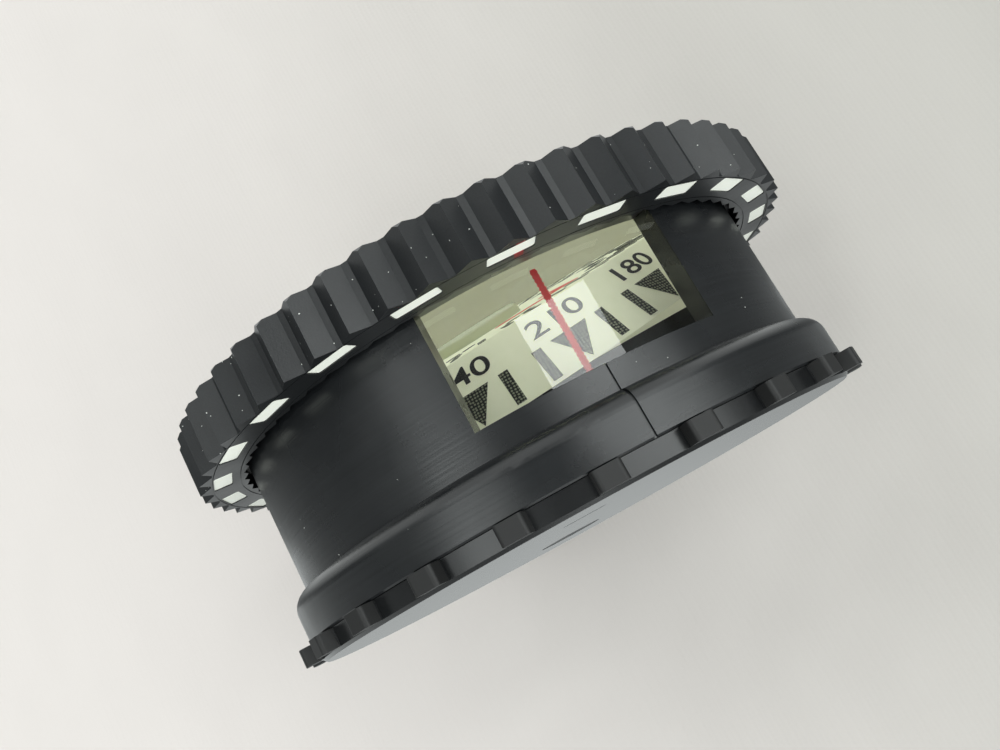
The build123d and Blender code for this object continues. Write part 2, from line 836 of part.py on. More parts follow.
# ---------------------------------------------------------------- bezel
tooth_pitch = 360 / bezel_tooth_count
root_half_angle = tooth_pitch * bezel_root_share / 2
tooth_outline = []
for index in range(bezel_tooth_count):
    crest_azimuth = bezel_tooth_phase + tooth_pitch * index
    root_azimuth = crest_azimuth + tooth_pitch / 2
    tooth_outline.append(on_azimuth(bezel_crest_radius, crest_azimuth))
    tooth_outline.append(on_azimuth(bezel_root_radius, root_azimuth - root_half_angle))
    tooth_outline.append(on_azimuth(bezel_root_radius, root_azimuth + root_half_angle))

# One ratchet root stands at the click spring's nib.
ratchet_pitch = 360 / ratchet_count
ratchet_outline = []
for index in range(ratchet_count):
    root_azimuth = click_azimuth + ratchet_pitch * index
    ratchet_outline.append(on_azimuth(ratchet_root_radius, root_azimuth))
    tip_azimuth = root_azimuth + ratchet_pitch * ratchet_tip_share
    ratchet_outline.append(on_azimuth(ratchet_tip_radius, tip_azimuth))

with BuildPart() as bezel:
    with BuildSketch(Plane.XY.offset(bezel_bottom)):
        with BuildLine():
            Polyline(*tooth_outline, close=True)
        make_face()
        Circle(bezel_bore_radius, mode=Mode.SUBTRACT)
    extrude(amount=bezel_height)
    with BuildSketch(Plane.XY.offset(bezel_bottom)):
        with BuildLine():
            Polyline(*ratchet_outline, close=True)
        make_face()
    extrude(amount=ratchet_height, mode=Mode.SUBTRACT)
    # Slots for the pips, right through
    with BuildSketch(Plane.XY.offset(bezel_bottom)):
        with PolarLocations(pip_circle, pip_count, start_angle=pip_phase - 90):
            RectangleRounded(pip_width, pip_length, pip_corner)
    extrude(amount=bezel_height, mode=Mode.SUBTRACT)
    # Bevel towards the dome, softened tooth ends and the snap ring's groove
    with BuildSketch(Plane.XZ):
        with BuildLine():
            Polyline(
                (bezel_bore_radius, bezel_top - bezel_bevel_drop),
                (bevel_outer_radius, bezel_top),
                (0, bezel_top),
                (0, bezel_top - bezel_bevel_drop),
                close=True,
            )
        make_face()
        with BuildLine():
            Polyline(
                (bezel_crest_radius - bezel_edge_chamfer, bezel_top),
                (bezel_crest_radius + bezel_edge_chamfer, bezel_top),
                (bezel_crest_radius + bezel_edge_chamfer, bezel_top - 2 * bezel_edge_chamfer),
                close=True,
            )
        make_face()
        snap_relief = snap_ring_width - snap_groove_depth + axial_clearance
        with Locations((body_radius + running_clearance, groove_middle)):
            Rectangle(2 * snap_relief, snap_ring_height + 2 * axial_clearance)
    revolve(axis=Axis.Z, mode=Mode.SUBTRACT)
    # Two fine circles moulded in the underside
    with BuildSketch(Plane.XY.offset(bezel_bottom)):
        for line_radius in (flange_outer_line_radius, flange_inner_line_radius):
            Circle(line_radius + flange_line_width / 2)
            Circle(line_radius - flange_line_width / 2, mode=Mode.SUBTRACT)
    extrude(amount=flange_line_depth, mode=Mode.SUBTRACT)
    # Recess for the index mark
    with BuildSketch(Plane.XY.offset(bezel_bottom)):
        with PolarLocations(index_middle_radius, 1, start_angle=index_azimuth - 90):
            Rectangle(index_length, index_width)
    extrude(amount=index_depth, mode=Mode.SUBTRACT)
bezel.part.label = "bezel"

with BuildPart() as luminous_pips:
    fitted_width = pip_width - 2 * insert_clearance
    fitted_length = pip_length - 2 * insert_clearance
    with BuildSketch(Plane.XY.offset(bezel_bottom + pip_recess)):
        with PolarLocations(pip_circle, pip_count, start_angle=pip_phase - 90):
            RectangleRounded(fitted_width, fitted_length, pip_corner)
    extrude(amount=bezel_height - 2 * pip_recess)
luminous_pips.part.label = "luminous_pips"

with BuildPart() as snap_ring:
    snap_inner_radius = body_radius - snap_groove_depth + static_clearance
    with BuildSketch(Plane.XY.offset(snap_ring_bottom)):
        Circle(snap_inner_radius + snap_ring_width - static_clearance)
        Circle(snap_inner_radius, mode=Mode.SUBTRACT)
        with Locations((0, bezel_crest_radius)):
            Rectangle(snap_ring_gap, 2 * bezel_crest_radius, mode=Mode.SUBTRACT)
    extrude(amount=snap_ring_height)
snap_ring.part.label = "snap_ring"

with BuildPart() as click_spring:
    leaf_inner_radius = click_leaf_radius - click_leaf_thickness
    pocket_floor_radius = body_radius - click_pocket_depth
    nib_tip_radius = ratchet_root_radius - running_clearance - insert_clearance
    with BuildSketch(section_at(click_azimuth - click_half_angle)):
        with Locations((click_leaf_radius - click_leaf_thickness / 2, click_middle)):
            Rectangle(click_leaf_thickness, click_leaf_height)
    revolve(axis=Axis.Z, revolution_arc=2 * click_half_angle)
    # Feet that stand on the pocket's floor
    foot_length = click_leaf_radius - pocket_floor_radius - static_clearance
    last_foot = click_azimuth + click_half_angle - click_foot_angle
    for foot_azimuth in (click_azimuth - click_half_angle, last_foot):
        with BuildSketch(section_at(foot_azimuth)):
            with Locations((click_leaf_radius - foot_length / 2, click_middle)):
                Rectangle(foot_length, click_leaf_height)
        revolve(axis=Axis.Z, revolution_arc=click_foot_angle)
    # Nib that drops into a ratchet root
    with BuildSketch(Plane.XY.offset(click_middle - click_leaf_height / 2)):
        with BuildLine():
            Polyline(
                (-click_nib_half_width, leaf_inner_radius + click_leaf_thickness / 2),
                (-click_nib_half_width, ratchet_tip_radius),
                (-click_nib_tip_half_width, nib_tip_radius),
                (click_nib_tip_half_width, nib_tip_radius),
                (click_nib_half_width, ratchet_tip_radius),
                (click_nib_half_width, leaf_inner_radius + click_leaf_thickness / 2),
                close=True,
            )
        make_face()
    extrude(amount=click_leaf_height)
click_spring.part.label = "click_spring"

with BuildPart() as bezel_index:
    # Red line let into the underside, broken by the slot
    with BuildSketch(Plane.XY.offset(bezel_bottom)):
        with PolarLocations(index_middle_radius, 1, start_angle=index_azimuth - 90):
            Rectangle(index_length - insert_clearance, index_width - insert_clearance)
        with PolarLocations(pip_circle, pip_count, start_angle=pip_phase - 90):
            RectangleRounded(pip_width, pip_length, pip_corner, mode=Mode.SUBTRACT)
    extrude(amount=index_depth - insert_clearance)
bezel_index.part.label = "bezel_index"

# ---------------------------------------------------------------- export
export_step(base_cover.part, "parts/base_cover.step")
export_step(base_seal.part, "parts/base_seal.step")
export_step(base_plug.part, "parts/base_plug.step")
export_step(housing.part, "parts/housing.step")
export_step(capsule.part, "parts/capsule.step")
export_step(side_window.part, "parts/side_window.step")
export_step(lubber_line.part, "parts/lubber_line.step")
export_step(capsule_seal.part, "parts/capsule_seal.step")
export_step(capsule_floor.part, "parts/capsule_floor.step")
export_step(floor_gasket.part, "parts/floor_gasket.step")
export_step(clamp_ring.part, "parts/clamp_ring.step")
export_step(fill_screw.part, "parts/fill_screw.step")
export_step(fill_seal.part, "parts/fill_seal.step")
export_step(diaphragm.part, "parts/diaphragm.step")
export_step(diaphragm_ring.part, "parts/diaphragm_ring.step")
export_step(pivot_post.part, "parts/pivot_post.step")
export_step(pivot_pin.part, "parts/pivot_pin.step")
export_step(jewel.part, "parts/jewel.step")
export_step(jewel_setting.part, "parts/jewel_setting.step")
export_step(card.part, "parts/card.step")
export_step(card_marks.part, "parts/card_marks.step")
export_step(card_top_scale.part, "parts/card_top_scale.step")
export_step(north_arrow.part, "parts/north_arrow.step")
export_step(magnet_carrier.part, "parts/magnet_carrier.step")
export_step(magnets["left"], "parts/left_magnet.step")
export_step(magnets["right"], "parts/right_magnet.step")
export_step(balance_weight.part, "parts/balance_weight.step")
export_step(float_ring.part, "parts/float_ring.step")
export_step(hub_cap.part, "parts/hub_cap.step")
export_step(bezel.part, "parts/bezel.step")
export_step(luminous_pips.part, "parts/luminous_pips.step")
export_step(bezel_index.part, "parts/bezel_index.step")
export_step(snap_ring.part, "parts/snap_ring.step")
export_step(click_spring.part, "parts/click_spring.step")
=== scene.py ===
"""Looks of a side-reading bearing compass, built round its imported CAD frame.

Everything is in metres in the CAD frame: +Z up along the compass axis, origin in the middle of the
base's flat underside, -Y at the middle of the side window. Azimuths are degrees from -Y towards +X.
"""
import json
import logging
import math
import random
from collections.abc import Callable
from dataclasses import dataclass
from enum import Enum

import bmesh  # noqa: E402
import bpy  # noqa: E402
from mathutils import Matrix, Vector  # noqa: E402
from mathutils.bvhtree import BVHTree  # noqa: E402

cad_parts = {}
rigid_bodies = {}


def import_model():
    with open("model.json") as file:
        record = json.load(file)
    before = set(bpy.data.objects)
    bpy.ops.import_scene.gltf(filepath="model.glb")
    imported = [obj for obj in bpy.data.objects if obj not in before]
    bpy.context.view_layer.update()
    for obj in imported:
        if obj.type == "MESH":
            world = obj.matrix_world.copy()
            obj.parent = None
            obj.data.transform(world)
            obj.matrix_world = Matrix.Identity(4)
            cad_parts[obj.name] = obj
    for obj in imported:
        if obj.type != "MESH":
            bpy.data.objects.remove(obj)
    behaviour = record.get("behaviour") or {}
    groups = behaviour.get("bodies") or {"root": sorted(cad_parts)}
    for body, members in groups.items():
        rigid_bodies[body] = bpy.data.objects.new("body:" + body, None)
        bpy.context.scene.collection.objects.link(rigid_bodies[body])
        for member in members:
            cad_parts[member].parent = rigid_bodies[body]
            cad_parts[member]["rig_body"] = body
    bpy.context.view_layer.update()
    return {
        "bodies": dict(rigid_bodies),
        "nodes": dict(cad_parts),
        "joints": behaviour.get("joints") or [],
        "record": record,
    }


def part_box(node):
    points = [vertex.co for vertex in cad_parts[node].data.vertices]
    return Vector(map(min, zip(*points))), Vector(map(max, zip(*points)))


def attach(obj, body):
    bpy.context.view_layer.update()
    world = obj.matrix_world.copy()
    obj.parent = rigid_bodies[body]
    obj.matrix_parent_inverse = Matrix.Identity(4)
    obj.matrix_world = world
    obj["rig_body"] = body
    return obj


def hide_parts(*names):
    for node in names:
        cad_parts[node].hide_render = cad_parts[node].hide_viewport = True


MM = 0.001
TEXT_BOLD = 0.02 * MM  # how much a digit's strokes are fattened
OUTSIDE = 60 * MM  # clear of the whole compass
log = logging.getLogger("compass")


class Surface(Enum):
    """How a moulded or machined plastic surface was finished."""

    TURNED = "turned"
    ERODED = "eroded"
    POLISHED = "polished"


# ---------------------------------------------------------------- small helpers


def linear(code: str) -> tuple[float, float, float, float]:
    """Turns an sRGB hex code into linear RGBA.

    Args:
        code: six hex digits, with or without a leading hash.

    Returns:
        The linear colour with an alpha of 1.
    """
    digits = code.lstrip("#")
    channels = [int(digits[i : i + 2], 16) / 255 for i in (0, 2, 4)]
    toned = [c / 12.92 if c <= 0.04045 else ((c + 0.055) / 1.055) ** 2.4 for c in channels]
    return (*toned, 1.0)


def polar(radius: float, azimuth: float, height: float) -> Vector:
    """Point at a radius, an azimuth in degrees and a height."""
    angle = math.radians(azimuth - 90)
    return Vector((radius * math.cos(angle), radius * math.sin(angle), height))


def add_node(tree: bpy.types.NodeTree, kind: str, inputs: dict | None = None, **settings) -> bpy.types.Node:
    """Adds a node, with its settings, its socket values and its links.

    Args:
        tree: the node tree that it joins.
        kind: the node's type name, without "ShaderNode".
        inputs: socket name or index to a plain value or to the output socket that feeds it.
        settings: the node's own properties, such as operation.

    Returns:
        The new node.
    """
    node = tree.nodes.new("ShaderNode" + kind)
    for name, value in settings.items():
        setattr(node, name, value)
    for socket, value in (inputs or {}).items():
        if isinstance(value, bpy.types.NodeSocket):
            tree.links.new(value, node.inputs[socket])
        else:
            node.inputs[socket].default_value = value
    return node


def new_piece(
    name: str, mesh: bpy.types.Mesh, material: bpy.types.Material, body: str
) -> bpy.types.Object:
    """Makes an object of a mesh in the row frame, gives it its finish and lets it ride on a body.

    Args:
        name: the piece's name.
        mesh: its mesh, in metres in the row frame.
        material: its finish.
        body: the CAD body that it moves with.

    Returns:
        The new object.
    """
    piece = bpy.data.objects.new(name, mesh)
    bpy.context.scene.collection.objects.link(piece)
    mesh.materials.clear()
    mesh.materials.append(material)
    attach(piece, body)
    log.info("piece %s: %d faces on %s", name, len(mesh.polygons), body)
    return piece


def finished_mesh(name: str, shape: bmesh.types.BMesh, smooth: bool, merge: float = 1e-7) -> bpy.types.Mesh:
    """Closes a bmesh into a mesh with clean, outward faces.

    Args:
        name: the mesh's name.
        shape: the bmesh, which is freed.
        smooth: whether its faces are shaded smooth.
        merge: points closer than this become one.

    Returns:
        The finished mesh.
    """
    bmesh.ops.remove_doubles(shape, verts=shape.verts, dist=merge)
    bmesh.ops.dissolve_degenerate(shape, edges=shape.edges, dist=merge)
    bmesh.ops.recalc_face_normals(shape, faces=shape.faces)
    mesh = bpy.data.meshes.new(name)
    shape.to_mesh(mesh)
    shape.free()
    mesh.polygons.foreach_set("use_smooth", [smooth] * len(mesh.polygons))
    return mesh


def text_mesh(text: str, height: float, stretch: float, thickness: float, weight: float) -> bpy.types.Mesh:
    """Makes flat raised numerals, centred on the origin in the XY plane.

    Args:
        text: the digits.
        height: the digits' height in metres.
        stretch: how much wider than the plain font they are.
        thickness: how thick they stand.
        weight: how much each stroke is fattened, in metres.

    Returns:
        A closed mesh whose top is at z = thickness / 2.
    """
    cap_share = 0.73  # a digit's height as a share of the font's size
    curve = bpy.data.curves.new("digits", "FONT")
    curve.body = text
    curve.size = height / cap_share
    curve.extrude = thickness / 2
    curve.offset = weight
    curve.resolution_u = 6
    curve.align_x = "CENTER"
    curve.align_y = "CENTER"
    holder = bpy.data.objects.new("digits", curve)
    mesh = bpy.data.meshes.new_from_object(holder)
    bpy.data.objects.remove(holder)
    bpy.data.curves.remove(curve)
    mesh.transform(Matrix.Diagonal((stretch, 1, 1, 1)))
    return mesh


# ---------------------------------------------------------------- finishes


@dataclass(frozen=True)
class Finish:
    """A named finish: one material with a Principled shader, fed by its own pattern."""

    name: str
    colour: str
    roughness: float
    ior: float = 1.5

    def build(self) -> bpy.types.Material:
        """Makes the material and lets the finish draw its pattern.

        Returns:
            The material, ready to be given to a piece.
        """
        material = bpy.data.materials.new(self.name)
        material.use_nodes = True
        tree = material.node_tree
        shader = tree.nodes["Principled BSDF"]
        shader.inputs["Base Color"].default_value = linear(self.colour)
        shader.inputs["Roughness"].default_value = self.roughness
        shader.inputs["IOR"].default_value = self.ior
        place = add_node(tree, "TexCoord").outputs["Object"]
        self.draw(tree, shader, place)
        return material

    def draw(self, tree: bpy.types.NodeTree, shader: bpy.types.Node, place: bpy.types.NodeSocket) -> None:
        """Adds the finish's pattern to its shader.

        Args:
            tree: the material's node tree.
            shader: its Principled shader.
            place: the object coordinates, in metres.
        """


@dataclass(frozen=True)
class BlackPlastic(Finish):
    """Black engineering plastic, with a fine surface left by turning, spark erosion or polishing."""

    surface: Surface = Surface.ERODED
    tint: str = "#26292B"  # colour of the worn, dusty areas
    grain_mm: float = 0.14
    relief_mm: float = 0.006

    def draw(self, tree: bpy.types.NodeTree, shader: bpy.types.Node, place: bpy.types.NodeSocket) -> None:
        """Draws the grain or the turning lines, and faint dusty areas.

        Args:
            tree: the material's node tree.
            shader: its Principled shader.
            place: the object coordinates, in metres.
        """
        fine = 1 / (self.grain_mm * MM)
        if self.surface is Surface.TURNED:
            # Turning leaves long lines round the axis: short in height, long in the other two directions.
            along = fine / 60
            scale = (along, along, fine)
        else:
            scale = (fine, fine, fine)
        stretched = add_node(tree, "Mapping", {"Vector": place, "Scale": scale})
        grain = add_node(
            tree, "TexNoise", {"Vector": stretched.outputs[0], "Scale": 1.0, "Detail": 3.0, "Roughness": 0.6}
        )
        bump = add_node(
            tree, "Bump",
            {"Height": grain.outputs[0], "Distance": self.relief_mm * MM, "Strength": 1.0},
        )
        tree.links.new(bump.outputs[0], shader.inputs["Normal"])
        # Handling leaves a faint uneven film, some millimetres across.
        film = add_node(tree, "TexNoise", {"Vector": place, "Scale": 1 / (6 * MM), "Detail": 4.0})
        dull = add_node(
            tree, "MapRange",
            {"Value": film.outputs[0], "From Min": 0.35, "From Max": 0.7,
             "To Min": self.roughness - 0.04, "To Max": self.roughness + 0.06},
        )
        tree.links.new(dull.outputs[0], shader.inputs["Roughness"])
        shade = add_node(
            tree, "Mix",
            {"Factor": grain.outputs[0], "A": linear(self.colour), "B": linear(self.tint)}, data_type="RGBA",
        )
        tree.links.new(shade.outputs["Result"], shader.inputs["Base Color"])


@dataclass(frozen=True)
class LuggedPlastic(BlackPlastic):
    """Moulded black plastic whose outer lugs were left as the mould's rough erosion made them."""

    lug_radius: float = 28.85 * MM
    lug_colour: str = "#070707"
    lug_roughness: float = 0.6

    def draw(self, tree: bpy.types.NodeTree, shader: bpy.types.Node, place: bpy.types.NodeSocket) -> None:
        """Draws the plain plastic, and the lugs outside their root radius rougher and blacker.

        Args:
            tree: the material's node tree.
            shader: its Principled shader.
            place: the object coordinates, in metres.
        """
        super().draw(tree, shader, place)
        flat = add_node(tree, "VectorMath", {0: place, 1: (1, 1, 0)}, operation="MULTIPLY")
        radius = add_node(tree, "VectorMath", {0: flat.outputs[0]}, operation="LENGTH")
        lug = add_node(tree, "Math", {0: radius.outputs["Value"], 1: self.lug_radius}, operation="GREATER_THAN")
        dull = add_node(
            tree, "MapRange",
            {"Value": lug.outputs[0], "To Min": self.roughness, "To Max": self.lug_roughness},
        )
        plain = shader.inputs["Base Color"].links[0].from_socket
        shade = add_node(
            tree, "Mix", {"Factor": lug.outputs[0], "A": plain, "B": linear(self.lug_colour)}, data_type="RGBA"
        )
        tree.links.new(dull.outputs[0], shader.inputs["Roughness"])
        tree.links.new(shade.outputs["Result"], shader.inputs["Base Color"])


@dataclass(frozen=True)
class ClearAcrylic(Finish):
    """Polished clear acrylic, filled with fluid of nearly the same index, so that the two act as one."""

    def draw(self, tree: bpy.types.NodeTree, shader: bpy.types.Node, place: bpy.types.NodeSocket) -> None:
        """Makes the shader clear, with a faint ripple from moulding.

        Args:
            tree: the material's node tree.
            shader: its Principled shader.
            place: the object coordinates, in metres.
        """
        shader.inputs["Transmission Weight"].default_value = 1.0
        ripple = add_node(tree, "TexNoise", {"Vector": place, "Scale": 1 / (5 * MM), "Detail": 1.0})
        bump = add_node(tree, "Bump", {"Height": ripple.outputs[0], "Distance": 0.004 * MM, "Strength": 0.5})
        tree.links.new(bump.outputs[0], shader.inputs["Normal"])


@dataclass(frozen=True)
class LuminousCoat(Finish):
    """Photoluminescent coating: a matt pale green-cream paint with a fine crystal speckle, and an optional
    painted glow that makes it brighter than the light falling on it.
    """

    shade: str = "#C9CFA0"
    # painted glow: emission strength that makes the coat brighter than the light falling on it
    glow: float = 0.0

    def draw(self, tree: bpy.types.NodeTree, shader: bpy.types.Node, place: bpy.types.NodeSocket) -> None:
        """Draws the speckle, a slow change of tone and the painted glow.

        Args:
            tree: the material's node tree.
            shader: its Principled shader.
            place: the object coordinates, in metres.
        """
        speckle = add_node(tree, "TexNoise", {"Vector": place, "Scale": 1 / (0.9 * MM), "Detail": 8.0})
        tone = add_node(
            tree, "Mix",
            {"Factor": speckle.outputs[0], "A": linear(self.colour), "B": linear(self.shade)}, data_type="RGBA",
        )
        tree.links.new(tone.outputs["Result"], shader.inputs["Base Color"])
        # Painted glow: the emission lights the coat up beyond the light that reaches it, though it is no lamp.
        shader.inputs["Emission Color"].default_value = linear(self.colour)
        shader.inputs["Emission Strength"].default_value = self.glow


@dataclass(frozen=True)
class PrintedInk(Finish):
    """Screen-printed ink: the mesh of the screen leaves a grid of tiny pale pinholes."""

    pinhole: str = "#8C9078"
    mesh_mm: float = 0.26
    radius_mm: float = 17.0
    pinhole_edge: float = 0.12
    pinhole_share: float = 0.26

    def draw(self, tree: bpy.types.NodeTree, shader: bpy.types.Node, place: bpy.types.NodeSocket) -> None:
        """Draws the pinholes on a fine regular grid.

        Args:
            tree: the material's node tree.
            shader: its Principled shader.
            place: the object coordinates, in metres.
        """
        # The grid runs round the axis and up it, so it lies flat on the sloping skirt.
        axes = add_node(tree, "SeparateXYZ", {0: place})
        turn = add_node(tree, "Math", {0: axes.outputs["Y"], 1: axes.outputs["X"]}, operation="ARCTAN2")
        across = add_node(
            tree, "Math", {0: turn.outputs[0], 1: self.radius_mm / self.mesh_mm}, operation="MULTIPLY"
        )
        upwards = add_node(
            tree, "Math", {0: axes.outputs["Z"], 1: 1 / (self.mesh_mm * MM)}, operation="MULTIPLY"
        )
        grid = add_node(tree, "CombineXYZ", {0: across.outputs[0], 1: upwards.outputs[0]})
        holes = add_node(
            tree, "TexVoronoi", {"Vector": grid.outputs[0], "Scale": 1.0, "Randomness": 0.3},
            feature="F1", voronoi_dimensions="2D",
        )
        inside = add_node(
            tree, "MapRange",
            {"Value": holes.outputs["Distance"], "From Min": self.pinhole_share,
             "From Max": self.pinhole_share + self.pinhole_edge, "To Min": 1.0, "To Max": 0.0},
        )
        tone = add_node(
            tree, "Mix",
            {"Factor": inside.outputs[0], "A": linear(self.colour), "B": linear(self.pinhole)},
            data_type="RGBA",
        )
        tree.links.new(tone.outputs["Result"], shader.inputs["Base Color"])


@dataclass(frozen=True)
class Metal(Finish):
    """Small metal fittings, with the fine lines that turning or drawing leaves."""

    line_mm: float = 0.08

    def draw(self, tree: bpy.types.NodeTree, shader: bpy.types.Node, place: bpy.types.NodeSocket) -> None:
        """Makes the shader metal and draws its lines.

        Args:
            tree: the material's node tree.
            shader: its Principled shader.
            place: the object coordinates, in metres.
        """
        shader.inputs["Metallic"].default_value = 1.0
        fine = 1 / (self.line_mm * MM)
        stretched = add_node(tree, "Mapping", {"Vector": place, "Scale": (fine / 20, fine / 20, fine)})
        lines = add_node(tree, "TexNoise", {"Vector": stretched.outputs[0], "Scale": 1.0, "Detail": 2.0})
        bump = add_node(tree, "Bump", {"Height": lines.outputs[0], "Distance": 0.002 * MM, "Strength": 0.6})
        tree.links.new(bump.outputs[0], shader.inputs["Normal"])


@dataclass(frozen=True)
class Rubber(Finish):
    """Moulded rubber or foam: matt, with a fine uneven skin."""

    skin_mm: float = 0.3

    def draw(self, tree: bpy.types.NodeTree, shader: bpy.types.Node, place: bpy.types.NodeSocket) -> None:
        """Draws the uneven skin.

        Args:
            tree: the material's node tree.
            shader: its Principled shader.
            place: the object coordinates, in metres.
        """
        skin = add_node(tree, "TexNoise", {"Vector": place, "Scale": 1 / (self.skin_mm * MM), "Detail": 5.0})
        bump = add_node(tree, "Bump", {"Height": skin.outputs[0], "Distance": 0.02 * MM, "Strength": 0.7})
        tree.links.new(bump.outputs[0], shader.inputs["Normal"])


# Acetal housing, turned on a lathe: fine lines round the axis catch the light.
BODY_PLASTIC = BlackPlastic(
    "turned_black_acetal", "#0D0E0F", 0.28,
    surface=Surface.TURNED, tint="#1A1C1E", grain_mm=0.24, relief_mm=0.011,
)
# Moulded base: the same plastic with a polished mould face, so the underside mirrors the table.
BASE_PLASTIC = LuggedPlastic(
    "moulded_black_base", "#0B0C0D", 0.25,
    surface=Surface.POLISHED, tint="#161718", grain_mm=0.4, relief_mm=0.0008,
)
# Moulded bezel: spark-eroded mould faces leave an even, slightly sparkling grain.
BEZEL_PLASTIC = BlackPlastic(
    "spark_eroded_black_bezel", "#0F1011", 0.38, ior=1.45, tint="#1C1E20", grain_mm=0.18, relief_mm=0.011
)
# Moulded inner fittings, never handled: a plain soft black behind the card.
INNER_PLASTIC = BlackPlastic("inner_black_plastic", "#0E0F10", 0.5, grain_mm=0.2)
# Cast and polished acrylic with the fluid behind it: dark edges, sharp mirror images, a magnified card.
CLEAR_ACRYLIC = ClearAcrylic("clear_acrylic_and_fluid", "#FBFDF8", 0.0, ior=1.46)
# Sprayed photoluminescent coat: pale green-cream, slightly mealy; a painted glow keeps it bright even in shade.
CARD_COAT = LuminousCoat("card_coat_painted_glow", "#F0F1D6", 0.75, shade="#E6E9C8", glow=0.10)
# Pressed luminous plastic pips: the whitest spots of the whole bezel, made so by a painted glow that stands in
# for light shining through the slots.
PIP_PLASTIC = LuminousCoat("white_pips_painted_glow", "#FAFBF2", 0.5, shade="#F1F3E6", glow=0.08)
# Screen-printed black: the pale coat shows through the pinholes of the screen.
CARD_INK = PrintedInk("black_screen_ink", "#0D0D0C", 0.6)
# A second, denser pass for the numerals: nearly solid black.
NUMERAL_INK = PrintedInk("black_numeral_ink", "#101010", 0.6, pinhole="#3A3B33", pinhole_share=0.12)
# Printed red line: deep red with the steps of the screen along its edges.
LUBBER_INK = PrintedInk("red_lubber_ink", "#C4130E", 0.45, pinhole="#C63A2C", pinhole_share=0.1)
# Printed orange-red arrow: the only warm colour on the card.
ARROW_INK = PrintedInk("red_arrow_ink", "#E2402A", 0.5, pinhole="#EA6A50", pinhole_share=0.1)
# Painted index behind the pips: a dark red that only shows close up.
INDEX_INK = PrintedInk("dark_red_index_ink", "#7A1016", 0.5, pinhole="#8A1A20", pinhole_share=0.1)
# White paint wiped into the engraving: crisp off-white numerals.
BEZEL_PAINT = LuminousCoat("white_engraving_paint", "#E9EADF", 0.55, shade="#D5D6CB")
# Turned brass: warm, with fine lines round it.
BRASS = Metal("turned_brass", "#C9A557", 0.25)
# Rolled spring steel: a cool satin glint.
STEEL = Metal("spring_steel", "#B5B6B8", 0.28)
# The card's coat again on a pale sheet inside the capsule: a painted reflection of what the dome mirrors, with
# a painted glow behind the card.
REFLECTION_SHEET_COAT = LuminousCoat("painted_reflection_glow_sheet", "#F1F2DA", 0.7, shade="#E4E4BE", glow=0.15)
# Sintered magnet, ground and unplated: dull dark grey metal.
MAGNET = Metal("sintered_magnet", "#5A5B60", 0.4, line_mm=0.2)
# Moulded nitrile rubber: a matt black with an uneven skin.
RUBBER = Rubber("black_rubber", "#151515", 0.6)
# Harder moulded rubber of the plug: slightly shinier than the seals.
PLUG_RUBBER = Rubber("plug_rubber", "#1B1B1C", 0.5)
# Closed-cell foam, cut: chalky white with a coarse skin.
FOAM = Rubber("closed_cell_foam", "#D8D8CE", 0.8, skin_mm=0.5)
# Moulded natural grey plastic under the card.
CARRIER_PLASTIC = LuminousCoat("grey_carrier_plastic", "#A9AAA0", 0.5, shade="#9C9D93")
# Moulded cap in the middle of the card: smoother and a shade darker than the coat.
CARD_CAP = LuminousCoat("pale_cap_plastic", "#D0D4B8", 0.4, shade="#C4C8AA")
# Ground synthetic ruby, pale: a pink spark on the pivot.
JEWEL_GLASS = ClearAcrylic("pink_jewel_glass", "#F2C4CE", 0.0, ior=1.76)
# House dust: pale matt specks in the grain.
DUST = LuminousCoat("pale_dust", "#D9DBD6", 0.9, shade="#B9BBB6")


# ---------------------------------------------------------------- sub-assemblies


@dataclass
class Housing:
    """Turned housing, base cover and the pieces that they hold."""

    finishes: tuple[tuple[str, Finish], ...] = (
        ("housing", BODY_PLASTIC),
        ("base_cover", BASE_PLASTIC),
        ("base_seal", RUBBER),
        ("base_plug", PLUG_RUBBER),
        ("capsule_seal", RUBBER),
        ("capsule_floor", INNER_PLASTIC),
        ("floor_gasket", RUBBER),
        ("clamp_ring", INNER_PLASTIC),
        ("fill_screw", BRASS),
        ("fill_seal", RUBBER),
        ("diaphragm", RUBBER),
        ("diaphragm_ring", INNER_PLASTIC),
        ("pivot_post", INNER_PLASTIC),
        ("pivot_pin", STEEL),
        ("snap_ring", STEEL),
        ("click_spring", STEEL),
    )
    dust_specks: int = 70

    def build(self, workshop: "Workshop") -> None:
        """Dresses the CAD nodes and settles dust on the housing.

        Args:
            workshop: holds the frame and the materials.
        """
        workshop.dress(self.finishes)
        settle_dust(workshop, "housing", self.dust_specks, lowest=5 * MM, highest=18 * MM, seed=5)


